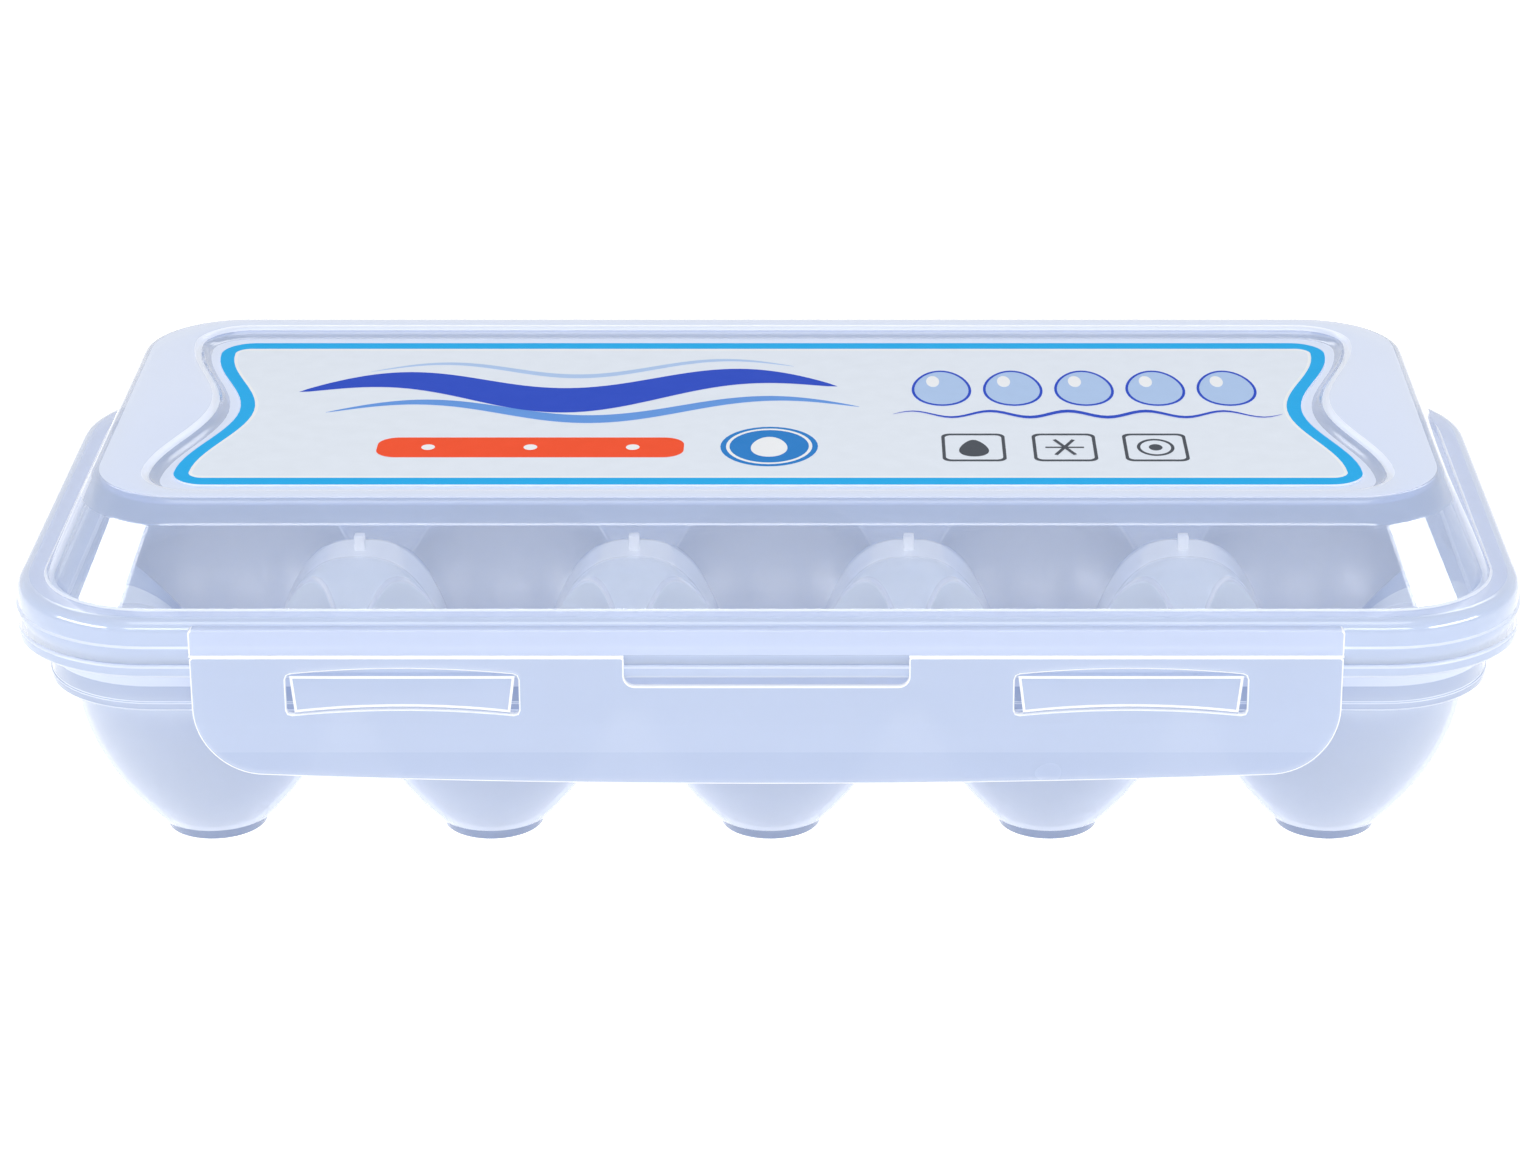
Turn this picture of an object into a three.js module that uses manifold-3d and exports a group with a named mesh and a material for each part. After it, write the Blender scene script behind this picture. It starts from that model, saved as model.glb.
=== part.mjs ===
// A clear closed keeper for eggs: a tray with two rows of cups, a lid on a rear film hinge and a snap flap.
// Millimetres. +X runs along the length, -Y faces the latch, +Z is up, the origin is under the feet's middle.

import * as THREE from "three";
import { mergeVertices } from "three/addons/utils/BufferGeometryUtils.js";
import Module from "manifold-3d";

const wasm = await Module();
wasm.setup();

// Gap left between pieces that aren't moulded in one
const clearance = 0.3;

// Cups and tray
const cupsPerRow = 5;
const cupRadius = 22.3;
const cupGap = 3;
const rowGap = 1.3;
const trayWall = 1.2;
const cupDepth = 29.3;
const cupFootDrop = 0.7;
const cupDraftShare = 0.05;
const seatRadius = 6.5;
const seatHeight = 2.2;
const footRadius = 8.9;
const footHeight = 2;
const footEdge = 0.9;
const lipRound = 0.8;
const cellInset = 0.2;
const saddleDrop = 4;
const deckRise = 6.5;
const deckReach = 27;
const deckPower = 3;
const peakRise = 6.5;
const peakReachX = 16.6;
const peakReachY = 12.5;
const peakPowerX = 2.8;
const peakPowerY = 3;

// Rim of the tray
const endLand = 0.55;
const sideLand = 5.2;
const cornerInner = 18.75;
const rimWall = 1.5;
const flangeWidth = 5.45;
const flangeThickness = 2.3;
const flangeRise = 6.5;
const skirtDrop = 1.8;
const lipInset = 3.4;
const lipThickness = 1.4;
const lipHeight = 5;

// Lid
const lidWall = 1.5;
const skirtHeight = 7.6;
const skirtWall = 1.6;
const skirtRound = 2.2;
const rimLedge = 5.45;
const domeHeight = 17.8;
const domeWallHeight = 14.2;
const domeDraftEnd = 6.9;
const domeDraftSide = 4.5;
const domeRound = 2.1;
const domeCorner = 18;
const recessHalfX = 107.3;
const recessHalfY = 43;
const recessCorner = 9;
const recessWaist = 7.4;
const recessDepth = 1.7;
const recessSlope = 1.3;

// Label
const labelInset = 3;
const labelInsetY = 4.4;
const labelCorner = 6;
const labelThickness = 0.3;

// Latch
const latchHalfX = 97.5;
const stripThickness = 1.8;
const stripHeight = 4.6;
const stripBottomRise = 2.7;
const stripCorner = 2;
const filmThickness = 0.3;
const filmDepth = 0.6;
const flapThickness = 1.2;
const flapBackGap = 0.4;
const flapLength = 21.4;
const flapSag = 1.6;
const flapCorner = 12;
const flapFlare = 0.8;
const flareStart = 12;
const flareMiddle = 17.3;
const notchHalfX = 24.1;
const notchDepth = 5.2;
const notchCorner = 1.8;
const windowHalfX = 19.7;
const windowEndGap = 16.1;
const windowTop = 3.1;
const windowBottom = 10.5;
const windowArch = 1.1;
const windowCorner = 0.8;
const lugClearance = 1;
const lugLedgeGap = 0.4;
const lugHeight = 5.6;
const lugProud = 0.5;
const lugFace = 0.7;

// Rear hinge and small trim
const rearHalfX = 97.5;
const rearStripHeight = 2;
const pipWidth = 2;
const pipHeight = 1.2;

// Counts and shares that shape the meshes
const cornerSteps = 6;
const endSteps = 6;
const cupCurveShares = [0.09, 0.2, 0.4, 0.7, 1];
const acrossShares = [0, 0.088, 0.178, 0.266, 0.34, 0.5, 0.66, 0.734, 0.822, 0.912];
const inwardShares = [0, 0.085, 0.16, 0.235, 0.38, 0.54, 0.72];
const wallShares = [0, 0.25, 0.5, 0.75];
const endShares = [0.36, 0.66];
const endCornerSteps = 4;
const lipRoundShare = 0.75;
const skirtRoundShare = 0.3;
const domeRoundShare = 0.3;
const recessBendShares = [0.65, 0.25];
const recessUnderShare = 0.6;
const flareBendShare = 0.3;

// Places worked out from the sizes above
const cupOuter = cupRadius + trayWall;
const cupPitch = 2 * cupOuter + cupGap;
const rowPitch = 2 * cupOuter + rowGap;
const widestZ = cupFootDrop + cupDepth;
const saddleZ = widestZ - saddleDrop;
const deckZ = widestZ + deckRise;
const peakZ = deckZ + peakRise;
const lastCupX = (cupPitch * (cupsPerRow - 1)) / 2;
const panHalfX = lastCupX + cupOuter + endLand;
const panHalfY = rowPitch / 2 + cupOuter + sideLand;
const skirtHalfX = panHalfX + rimWall;
const skirtHalfY = panHalfY + rimWall;
const rimHalfX = skirtHalfX + flangeWidth;
const rimHalfY = skirtHalfY + flangeWidth;
const rimCorner = cornerInner + rimWall + flangeWidth;
const flangeBottomZ = deckZ + flangeRise;
const flangeTopZ = flangeBottomZ + flangeThickness;
const lidBottomZ = flangeTopZ + clearance;
const rimTopZ = lidBottomZ + skirtHeight;
const topZ = rimTopZ + domeHeight;
const recessZ = topZ - recessDepth;
const stripBottomZ = flangeTopZ + stripBottomRise;
const flapTopZ = stripBottomZ - filmThickness - clearance;
const flapBackY = rimHalfY + flapBackGap;
const windowCentreX = latchHalfX - windowEndGap - windowHalfX;
const windowTopZ = flapTopZ - windowTop;
const windowBottomZ = flapTopZ - windowBottom;
const reachY = flapBackY + flapThickness + flapFlare;

// One level loop round a rectangle with round corners, anticlockwise from above. The waist draws its ends in.
function roundedLoop({ halfX, halfY, corner, z, waist = 0 }) {
  const points = [];
  const straight = halfY - corner;
  for (let quarter = 0; quarter < 4; quarter += 1) {
    const sideX = quarter === 0 || quarter === 3 ? 1 : -1;
    const sideY = quarter < 2 ? 1 : -1;
    for (let step = 0; step <= cornerSteps; step += 1) {
      const angle = (Math.PI / 2) * (quarter + step / cornerSteps);
      const x = sideX * (halfX - corner) + corner * Math.cos(angle);
      const y = sideY * straight + corner * Math.sin(angle);
      points.push(new THREE.Vector3(x, y, z));
    }
    for (let step = 1; step < endSteps && quarter % 2 === 1; step += 1) {
      const along = 1 - (2 * step) / endSteps;
      const drawnIn = (waist * (1 + Math.cos(Math.PI * along))) / 2;
      points.push(new THREE.Vector3(sideX * (halfX - drawnIn), sideY * straight * along, z));
    }
  }
  return points;
}

// A closed skin through loops of equal length, from a start point to an end point or back to the first loop.
function skin(loops, start, end) {
  const count = loops[0].length;
  const vertices = loops.flat();
  const faces = [];
  const bands = start ? loops.length - 1 : loops.length;
  for (let band = 0; band < bands; band += 1) {
    const here = band * count;
    const next = ((band + 1) % loops.length) * count;
    for (let i = 0; i < count; i += 1) {
      const j = (i + 1) % count;
      faces.push(here + i, next + i, next + j);
      faces.push(here + i, next + j, here + j);
    }
  }
  if (start) {
    const last = (loops.length - 1) * count;
    const startIndex = vertices.push(start) - 1;
    const endIndex = vertices.push(end) - 1;
    for (let i = 0; i < count; i += 1) {
      const j = (i + 1) % count;
      faces.push(startIndex, i, j);
      faces.push(endIndex, last + j, last + i);
    }
  }
  const geometry = new THREE.BufferGeometry().setFromPoints(vertices);
  geometry.setIndex(faces);
  geometry.computeVertexNormals();
  return geometry;
}

function boxBetween(low, high) {
  const geometry = new THREE.BoxGeometry(high[0] - low[0], high[1] - low[1], high[2] - low[2]);
  return geometry.translate((low[0] + high[0]) / 2, (low[1] + high[1]) / 2, (low[2] + high[2]) / 2);
}

// Extrudes an outline drawn in Y and Z along the whole of -halfX to halfX about a centre.
function extrudeAlongX(shape, centreX, halfX) {
  const geometry = new THREE.ExtrudeGeometry(shape, { depth: 2 * halfX, bevelEnabled: false, steps: 1 });
  const turn = new THREE.Matrix4().makeBasis(
    new THREE.Vector3(0, 1, 0),
    new THREE.Vector3(0, 0, 1),
    new THREE.Vector3(1, 0, 0),
  );
  return geometry.applyMatrix4(turn).translate(centreX - halfX, 0, 0);
}

// Extrudes an outline drawn in X and Z from the face at y = -near to the face at y = -far.
function extrudeToFront(shape, near, far) {
  const options = { depth: far - near, bevelEnabled: false, steps: 1, curveSegments: cornerSteps };
  const geometry = new THREE.ExtrudeGeometry(shape, options);
  const turn = new THREE.Matrix4().makeBasis(
    new THREE.Vector3(1, 0, 0),
    new THREE.Vector3(0, 0, 1),
    new THREE.Vector3(0, -1, 0),
  );
  return geometry.applyMatrix4(turn).translate(0, -near, 0);
}

function toSolid(geometry) {
  const bare = geometry.clone();
  bare.deleteAttribute("normal");
  bare.deleteAttribute("uv");
  const merged = mergeVertices(bare);
  const vertProperties = merged.getAttribute("position").array;
  const triVerts = new Uint32Array(merged.index.array);
  return new wasm.Manifold(new wasm.Mesh({ numProp: 3, vertProperties, triVerts }));
}

function toGeometry(solid) {
  const mesh = solid.getMesh();
  const geometry = new THREE.BufferGeometry();
  geometry.setAttribute("position", new THREE.BufferAttribute(mesh.vertProperties, 3));
  geometry.setIndex(new THREE.BufferAttribute(mesh.triVerts, 1));
  geometry.computeVertexNormals();
  return geometry;
}

// Inner face of a cup at a height, or its outer face when the wall is given.
function cupRadiusAt(z, wall) {
  const below = Math.max(widestZ - z, 0);
  const above = Math.max(z - widestZ, 0);
  const depth = cupDepth - trayWall + wall;
  const round = Math.sqrt(Math.max(1 - (below / depth) ** 2, 0));
  return (cupRadius + wall) * round + above * cupDraftShare;
}

// Height of the deck between the cups: saddles, a peak where four cups meet, and a rise beside the rim.
function deckHeight(x, y) {
  const lastPeak = (cupsPerRow - 2) / 2;
  const column = Math.min(Math.max(Math.round(x / cupPitch + lastPeak), 0), cupsPerRow - 2) - lastPeak;
  const awayX = Math.abs(x - column * cupPitch) / peakReachX;
  const awayY = Math.abs(y) / peakReachY;
  const peak = peakZ - (peakZ - saddleZ) * (awayX ** peakPowerX + awayY ** peakPowerY);
  const fromRim = Math.max(Math.min(panHalfX - Math.abs(x), panHalfY - Math.abs(y)), 0);
  const beside = deckZ - (deckZ - saddleZ) * (fromRim / deckReach) ** deckPower;
  return Math.max(saddleZ, peak, beside);
}

// Outline of one cup's share of the deck, in distances outwards from the cup and from the middle of the tray.
function cellOutline(atEnd) {
  const half = cupPitch / 2;
  const wallY = panHalfY - clearance;
  const outline = [];
  const nearX = -half;
  const farX = atEnd ? panHalfX - clearance - lastCupX : half;
  for (const share of acrossShares) {
    outline.push([nearX + (farX - nearX) * share, 0]);
  }
  if (atEnd) {
    const corner = cornerInner - clearance;
    outline.push([farX, 0]);
    for (const share of endShares) {
      outline.push([farX, (wallY - corner) * share]);
    }
    for (let step = 0; step <= endCornerSteps; step += 1) {
      const angle = ((Math.PI / 2) * step) / endCornerSteps;
      outline.push([farX - corner * (1 - Math.cos(angle)), wallY - corner * (1 - Math.sin(angle))]);
    }
    const straight = farX - corner - nearX;
    for (const share of wallShares.slice(1)) {
      outline.push([farX - corner - straight * share, wallY]);
    }
  } else {
    for (const share of inwardShares) {
      outline.push([farX, wallY * share]);
    }
    for (const share of wallShares) {
      outline.push([farX + (nearX - farX) * share, wallY]);
    }
  }
  outline.push([nearX, wallY]);
  for (const share of inwardShares.slice(1).reverse()) {
    outline.push([nearX, wallY * share]);
  }
  return outline;
}

// One cup with its share of the deck: up from the seat, out to the cell's edge, and back under to the foot.
function cupGeometry(cupIndex, sideY) {
  const centreX = (cupIndex - (cupsPerRow - 1) / 2) * cupPitch;
  const centreY = (sideY * rowPitch) / 2;
  const sideX = centreX < 0 ? -1 : 1;
  const outline = cellOutline(cupIndex === 0 || cupIndex === cupsPerRow - 1).map(
    ([x, y]) => [centreX + sideX * x, sideY * y],
  );
  if (sideX * sideY < 0) {
    outline.reverse();
  }
  const sections = outline.map(([edgeX, edgeY]) => {
    const edge = new THREE.Vector2(edgeX - centreX, edgeY - centreY);
    const reach = edge.length();
    const ray = edge.clone().normalize();
    const deckAt = (distance) => deckHeight(centreX + ray.x * distance, centreY + ray.y * distance);
    const edgeZ = deckHeight(edgeX, edgeY);
    const brimZ = deckAt(cupRadius) - lipRound;
    const underZ = deckAt(cupOuter) - trayWall;
    const lip = cupRadiusAt(brimZ, 0) + lipRound * lipRoundShare;
    const middle = (lip + reach) / 2;
    const inside = cupCurveShares.map((share) => {
      const z = seatHeight + (brimZ - seatHeight) * share;
      return [Math.max(cupRadiusAt(z, 0), seatRadius * (1 + share)), z];
    });
    const outside = cupCurveShares.map((share) => {
      const z = footHeight + (underZ - footHeight) * share;
      const distance = Math.max(cupRadiusAt(z, trayWall), footRadius * (1 + share / 2));
      return [Math.min(distance, reach - cellInset), z];
    });
    const section = [
      [seatRadius, seatHeight],
      ...inside,
      [lip, deckAt(lip)],
      [middle, deckAt(middle)],
      [reach, edgeZ],
      [reach, edgeZ - trayWall],
      ...outside.reverse(),
      [footRadius, footHeight],
      [footRadius - footEdge, 0],
    ];
    return section.map(
      ([distance, z]) => new THREE.Vector3(centreX + ray.x * distance, centreY + ray.y * distance, z),
    );
  });
  const loops = sections[0].map((_, i) => sections.map((section) => section[i]));
  const seat = new THREE.Vector3(centreX, centreY, seatHeight);
  return skin(loops, seat, new THREE.Vector3(centreX, centreY, 0));
}

function insetLoop(inset, z) {
  return roundedLoop({ halfX: rimHalfX - inset, halfY: rimHalfY - inset, corner: rimCorner - inset, z });
}

// Tray rim: flange, the lip that the lid fits over, and the wall that drops to the deck.
function baseRimGeometry() {
  const wallOuter = flangeWidth;
  const wallInner = flangeWidth + rimWall;
  return skin([
    insetLoop(wallInner, deckZ - skirtDrop),
    insetLoop(wallInner, flangeBottomZ),
    insetLoop(lipInset + lipThickness, flangeTopZ + lipHeight),
    insetLoop(lipInset, flangeTopZ + lipHeight),
    insetLoop(lipInset, flangeTopZ),
    insetLoop(0, flangeTopZ),
    insetLoop(0, flangeBottomZ),
    insetLoop(wallOuter, flangeBottomZ),
    insetLoop(wallOuter, deckZ - skirtDrop),
  ]);
}

function domeLoop(draftEnd, draftSide, corner, z) {
  const halfX = rimHalfX - rimLedge - draftEnd;
  const halfY = rimHalfY - rimLedge - draftSide;
  return roundedLoop({ halfX, halfY, corner, z });
}

function recessLoop(grow, z) {
  const corner = recessCorner + grow;
  return roundedLoop({ halfX: recessHalfX + grow, halfY: recessHalfY + grow, corner, z, waist: recessWaist });
}

// Lid: the outer face from the label recess over the dome to the skirt's foot, then the inner face back up.
function lidGeometry() {
  const domeFoot = rimCorner - rimLedge;
  const shoulderZ = rimTopZ + domeWallHeight;
  const [bendIn, bendUp] = recessBendShares;
  const topEnd = domeDraftEnd + domeRound;
  const topSide = domeDraftSide + domeRound;
  const topCorner = domeCorner - domeRound;
  const bend = domeRound * domeRoundShare;
  const skirtBend = skirtRound * skirtRoundShare;
  return skin(
    [
      recessLoop(-recessSlope, recessZ),
      recessLoop(-recessSlope * bendIn, recessZ + recessDepth * bendUp),
      recessLoop(0, topZ),
      domeLoop(topEnd, topSide, topCorner, topZ),
      domeLoop(domeDraftEnd + bend, domeDraftSide + bend, domeCorner, topZ - domeRound + bend),
      domeLoop(domeDraftEnd, domeDraftSide, domeCorner, shoulderZ),
      domeLoop(0, 0, domeFoot, rimTopZ),
      insetLoop(skirtRound, rimTopZ),
      insetLoop(skirtBend, rimTopZ - skirtBend),
      insetLoop(0, rimTopZ - skirtRound),
      insetLoop(0, lidBottomZ),
      insetLoop(skirtWall, lidBottomZ),
      insetLoop(skirtWall, rimTopZ - lidWall),
      insetLoop(rimLedge + lidWall, rimTopZ - lidWall),
      domeLoop(domeDraftEnd + lidWall, domeDraftSide + lidWall, topCorner, shoulderZ - lidWall / 2),
      domeLoop(topEnd + lidWall, topSide + lidWall, topCorner - lidWall, topZ - lidWall),
      recessLoop(lidWall * recessUnderShare, topZ - lidWall),
      recessLoop(0, recessZ - lidWall),
    ],
    new THREE.Vector3(0, 0, recessZ),
    new THREE.Vector3(0, 0, recessZ - lidWall),
  );
}

function labelGeometry() {
  const size = {
    halfX: recessHalfX - recessSlope - labelInset,
    halfY: recessHalfY - recessSlope - labelInsetY,
    corner: labelCorner,
    waist: recessWaist,
  };
  const printZ = recessZ + labelThickness;
  const loops = [roundedLoop({ ...size, z: printZ }), roundedLoop({ ...size, z: recessZ })];
  return skin(loops, new THREE.Vector3(0, 0, printZ), new THREE.Vector3(0, 0, recessZ));
}

function stripGeometry() {
  const topEdge = stripBottomZ + stripHeight;
  const shape = new THREE.Shape();
  shape.moveTo(-latchHalfX, stripBottomZ);
  shape.lineTo(latchHalfX, stripBottomZ);
  shape.lineTo(latchHalfX, topEdge - stripCorner);
  shape.absarc(latchHalfX - stripCorner, topEdge - stripCorner, stripCorner, 0, Math.PI / 2);
  shape.lineTo(-latchHalfX + stripCorner, topEdge);
  shape.absarc(-latchHalfX + stripCorner, topEdge - stripCorner, stripCorner, Math.PI / 2, Math.PI);
  return extrudeToFront(shape, rimHalfY, rimHalfY + stripThickness);
}

// The film lies between the strip and the flap, on both sides of the flap's notch.
function frontFilmGeometry(sideX) {
  const filmY = -(rimHalfY + stripThickness);
  const [left, right] = [sideX * notchHalfX, sideX * latchHalfX].sort((a, b) => a - b);
  const bottomZ = stripBottomZ - filmThickness;
  return boxBetween([left, filmY, bottomZ], [right, filmY + filmDepth, stripBottomZ]);
}

// One window of the flap, its long edges arched upwards.
function windowPath(sideX) {
  const left = sideX * windowCentreX - windowHalfX;
  const right = sideX * windowCentreX + windowHalfX;
  const middle = sideX * windowCentreX;
  const path = new THREE.Path();
  path.moveTo(left, windowBottomZ + windowCorner);
  path.quadraticCurveTo(left, windowBottomZ, left + windowCorner, windowBottomZ);
  path.quadraticCurveTo(middle, windowBottomZ + 2 * windowArch, right - windowCorner, windowBottomZ);
  path.quadraticCurveTo(right, windowBottomZ, right, windowBottomZ + windowCorner);
  path.lineTo(right, windowTopZ - windowCorner);
  path.quadraticCurveTo(right, windowTopZ, right - windowCorner, windowTopZ);
  path.quadraticCurveTo(middle, windowTopZ + 2 * windowArch, left + windowCorner, windowTopZ);
  path.quadraticCurveTo(left, windowTopZ, left, windowTopZ - windowCorner);
  path.closePath();
  return path;
}

// Front view of the flap: notched top edge, round lower corners, sagging lower edge and two windows.
function flapOutline() {
  const endZ = flapTopZ - flapLength;
  const notchZ = flapTopZ - notchDepth;
  const shape = new THREE.Shape();
  shape.moveTo(-latchHalfX, flapTopZ);
  shape.lineTo(-latchHalfX, endZ + flapCorner);
  shape.absarc(-latchHalfX + flapCorner, endZ + flapCorner, flapCorner, Math.PI, Math.PI * 1.5);
  shape.quadraticCurveTo(0, endZ - 2 * flapSag, latchHalfX - flapCorner, endZ);
  shape.absarc(latchHalfX - flapCorner, endZ + flapCorner, flapCorner, -Math.PI / 2, 0);
  shape.lineTo(latchHalfX, flapTopZ);
  shape.lineTo(notchHalfX, flapTopZ);
  shape.lineTo(notchHalfX, notchZ + notchCorner);
  shape.absarc(notchHalfX - notchCorner, notchZ + notchCorner, notchCorner, 0, -Math.PI / 2, true);
  shape.lineTo(-notchHalfX + notchCorner, notchZ);
  shape.absarc(-notchHalfX + notchCorner, notchZ + notchCorner, notchCorner, -Math.PI / 2, -Math.PI, true);
  shape.lineTo(-notchHalfX, flapTopZ);
  shape.closePath();
  shape.holes.push(windowPath(-1), windowPath(1));
  return shape;
}

// Side view of the flap: upright past the windows, then leaning out in two bends to the finger edge.
function flapProfile() {
  const back = -flapBackY;
  const lowest = flapTopZ - flapLength - flapSag;
  const bends = [
    [back, flapTopZ],
    [back, flapTopZ - flareStart],
    [back - flapFlare * flareBendShare, flapTopZ - flareMiddle],
    [back - flapFlare, lowest],
  ];
  const shape = new THREE.Shape();
  bends.forEach(([y, z], i) => (i ? shape.lineTo(y, z) : shape.moveTo(y, z)));
  bends.reverse().forEach(([y, z]) => shape.lineTo(y - flapThickness, z));
  shape.closePath();
  return shape;
}

function flapGeometry() {
  const bent = toSolid(extrudeAlongX(flapProfile(), 0, latchHalfX));
  const outline = toSolid(extrudeToFront(flapOutline(), rimHalfY, reachY + flapThickness));
  return toGeometry(bent.intersect(outline));
}

// Wedge lug under the flange: flush at its top edge and proud of the flap at its lower ledge.
function lugGeometry(sideX) {
  const ledgeZ = windowBottomZ + windowArch + lugLedgeGap;
  const frontY = -(flapBackY + flapThickness);
  const shape = new THREE.Shape();
  shape.moveTo(-skirtHalfY, ledgeZ);
  shape.lineTo(-skirtHalfY, flangeBottomZ);
  shape.lineTo(-rimHalfY, flangeBottomZ);
  shape.lineTo(-rimHalfY, ledgeZ + lugHeight);
  shape.lineTo(frontY + lugFace, ledgeZ + lugHeight);
  shape.lineTo(frontY - lugProud, ledgeZ + lugFace);
  shape.lineTo(frontY - lugProud, ledgeZ);
  shape.closePath();
  return extrudeAlongX(shape, sideX * windowCentreX, windowHalfX - lugClearance);
}

// Half of the rear film hinge. The film bends just behind it, level with the gap between the two halves.
function rearStripGeometry(bottomZ) {
  return boxBetween([-rearHalfX, rimHalfY, bottomZ], [rearHalfX, reachY, bottomZ + rearStripHeight]);
}

function pipGeometry(peakIndex) {
  const x = (peakIndex - (cupsPerRow - 2) / 2) * cupPitch;
  const half = pipWidth / 2;
  return boxBetween([x - half, -half, peakZ], [x + half, half, peakZ + pipHeight]);
}

const clearPlastic = { color: 0xd9e1f8, roughness: 0.22, metalness: 0, transparent: true, opacity: 0.45 };
const labelPaper = { color: 0xe4e9f4, roughness: 0.4, metalness: 0 };

function named(name, geometry, finish) {
  const mesh = new THREE.Mesh(geometry, new THREE.MeshStandardMaterial(finish));
  mesh.name = name;
  return mesh;
}

const base = new THREE.Group();
base.add(named("base_rim", baseRimGeometry(), clearPlastic));
for (const [row, sideY] of [["front", -1], ["back", 1]]) {
  for (let i = 0; i < cupsPerRow; i += 1) {
    base.add(named(`egg_cup_${row}_${i + 1}`, cupGeometry(i, sideY), clearPlastic));
  }
}
for (let i = 0; i < cupsPerRow - 1; i += 1) {
  base.add(named(`divider_pip_${i + 1}`, pipGeometry(i), clearPlastic));
}
base.add(named("rear_hinge_film", rearStripGeometry(flangeTopZ - rearStripHeight), clearPlastic));

const lid = new THREE.Group();
lid.add(named("lid_shell", lidGeometry(), clearPlastic));
lid.add(named("label_film", labelGeometry(), labelPaper));
lid.add(named("latch_hinge_strip", stripGeometry(), clearPlastic));
lid.add(named("rear_hinge_strip", rearStripGeometry(lidBottomZ), clearPlastic));

for (const [side, sideX] of [["left", -1], ["right", 1]]) {
  base.add(named(`latch_lug_${side}`, lugGeometry(sideX), clearPlastic));
  lid.add(named(`front_hinge_film_${side}`, frontFilmGeometry(sideX), clearPlastic));
}

const flap = new THREE.Group();
flap.add(named("latch_flap", flapGeometry(), clearPlastic));

const keeper = new THREE.Group();
keeper.add(base, lid, flap);

export default keeper;
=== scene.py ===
import math

import bmesh
import bpy
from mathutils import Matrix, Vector


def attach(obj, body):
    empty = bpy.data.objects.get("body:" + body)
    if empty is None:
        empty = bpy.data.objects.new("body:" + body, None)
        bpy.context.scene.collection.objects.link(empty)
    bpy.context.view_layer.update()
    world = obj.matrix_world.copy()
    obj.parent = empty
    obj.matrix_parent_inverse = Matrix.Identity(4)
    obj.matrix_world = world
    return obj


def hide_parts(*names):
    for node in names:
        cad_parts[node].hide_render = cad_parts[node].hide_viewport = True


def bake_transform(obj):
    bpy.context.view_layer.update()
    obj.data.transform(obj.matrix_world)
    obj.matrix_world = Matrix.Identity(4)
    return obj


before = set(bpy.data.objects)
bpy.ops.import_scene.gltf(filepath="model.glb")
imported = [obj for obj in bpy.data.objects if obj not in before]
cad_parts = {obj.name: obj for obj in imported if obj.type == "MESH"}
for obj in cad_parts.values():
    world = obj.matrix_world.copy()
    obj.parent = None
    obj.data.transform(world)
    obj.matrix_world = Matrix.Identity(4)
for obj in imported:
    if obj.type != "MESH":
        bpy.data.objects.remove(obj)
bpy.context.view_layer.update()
print("frame loaded")

mm = 0.001


# shader tools


def feed(tree, socket, value):
    # links another node's output, or sets a plain value
    if isinstance(value, bpy.types.NodeSocket):
        tree.links.new(value, socket)
    else:
        socket.default_value = value


def combine(tree, operation, first, second):
    node = tree.nodes.new("ShaderNodeMath")
    node.operation = operation
    feed(tree, node.inputs[0], first)
    feed(tree, node.inputs[1], second)
    return node.outputs[0]


def spread(tree, share, low, high):
    # spreads a share from 0 to 1 over low to high
    node = tree.nodes.new("ShaderNodeMapRange")
    feed(tree, node.inputs["To Min"], low)
    feed(tree, node.inputs["To Max"], high)
    feed(tree, node.inputs["Value"], share)
    return node.outputs[0]


def mixColours(tree, share, first, second):
    node = tree.nodes.new("ShaderNodeMix")
    node.data_type = "RGBA"
    feed(tree, node.inputs["Factor"], share)
    feed(tree, node.inputs[6], first)  # the colours are inputs 6 and 7, and the result is output 2
    feed(tree, node.inputs[7], second)
    return node.outputs[2]


def noise(tree, place, scale, detail):
    node = tree.nodes.new("ShaderNodeTexNoise")
    node.inputs["Scale"].default_value = scale
    node.inputs["Detail"].default_value = detail
    tree.links.new(place, node.inputs["Vector"])
    return node.outputs["Fac"]


def newMaterial(name):
    material = bpy.data.materials.new(name)
    material.use_nodes = True
    tree = material.node_tree
    return material, tree, tree.nodes["Principled BSDF"]


def seenRays(tree):
    # 1 for rays that show the background: to the eye, in a reflection or through glass
    path = tree.nodes.new("ShaderNodeLightPath")
    direct = combine(tree, "MAXIMUM", path.outputs["Is Camera Ray"], path.outputs["Is Glossy Ray"])
    return combine(tree, "MAXIMUM", direct, path.outputs["Is Transmission Ray"])


# camera, lights and stage

camera = {
    "place": (0.01149, -0.72425, 0.3317),
    "tilt": 67.72,  # degrees up from straight down
    "lens": 100.18,
    "shift": (-0.04327, 0.00827),
    "nearest": 0.01,
    "clearLayers": 40,  # how many clear walls a ray may pass
}
cameraData = bpy.data.cameras.new("camera")
cameraData.lens = camera["lens"]
cameraData.shift_x, cameraData.shift_y = camera["shift"]
cameraData.clip_start = camera["nearest"]
cameraObject = bpy.data.objects.new("camera", cameraData)
cameraObject.location = camera["place"]
cameraObject.rotation_euler = (math.radians(camera["tilt"]), 0, 0)
bpy.context.scene.collection.objects.link(cameraObject)
bpy.context.scene.camera = cameraObject
bpy.context.scene.view_settings.view_transform = "Standard"
bpy.context.scene.cycles.transparent_max_bounces = camera["clearLayers"]

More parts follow.
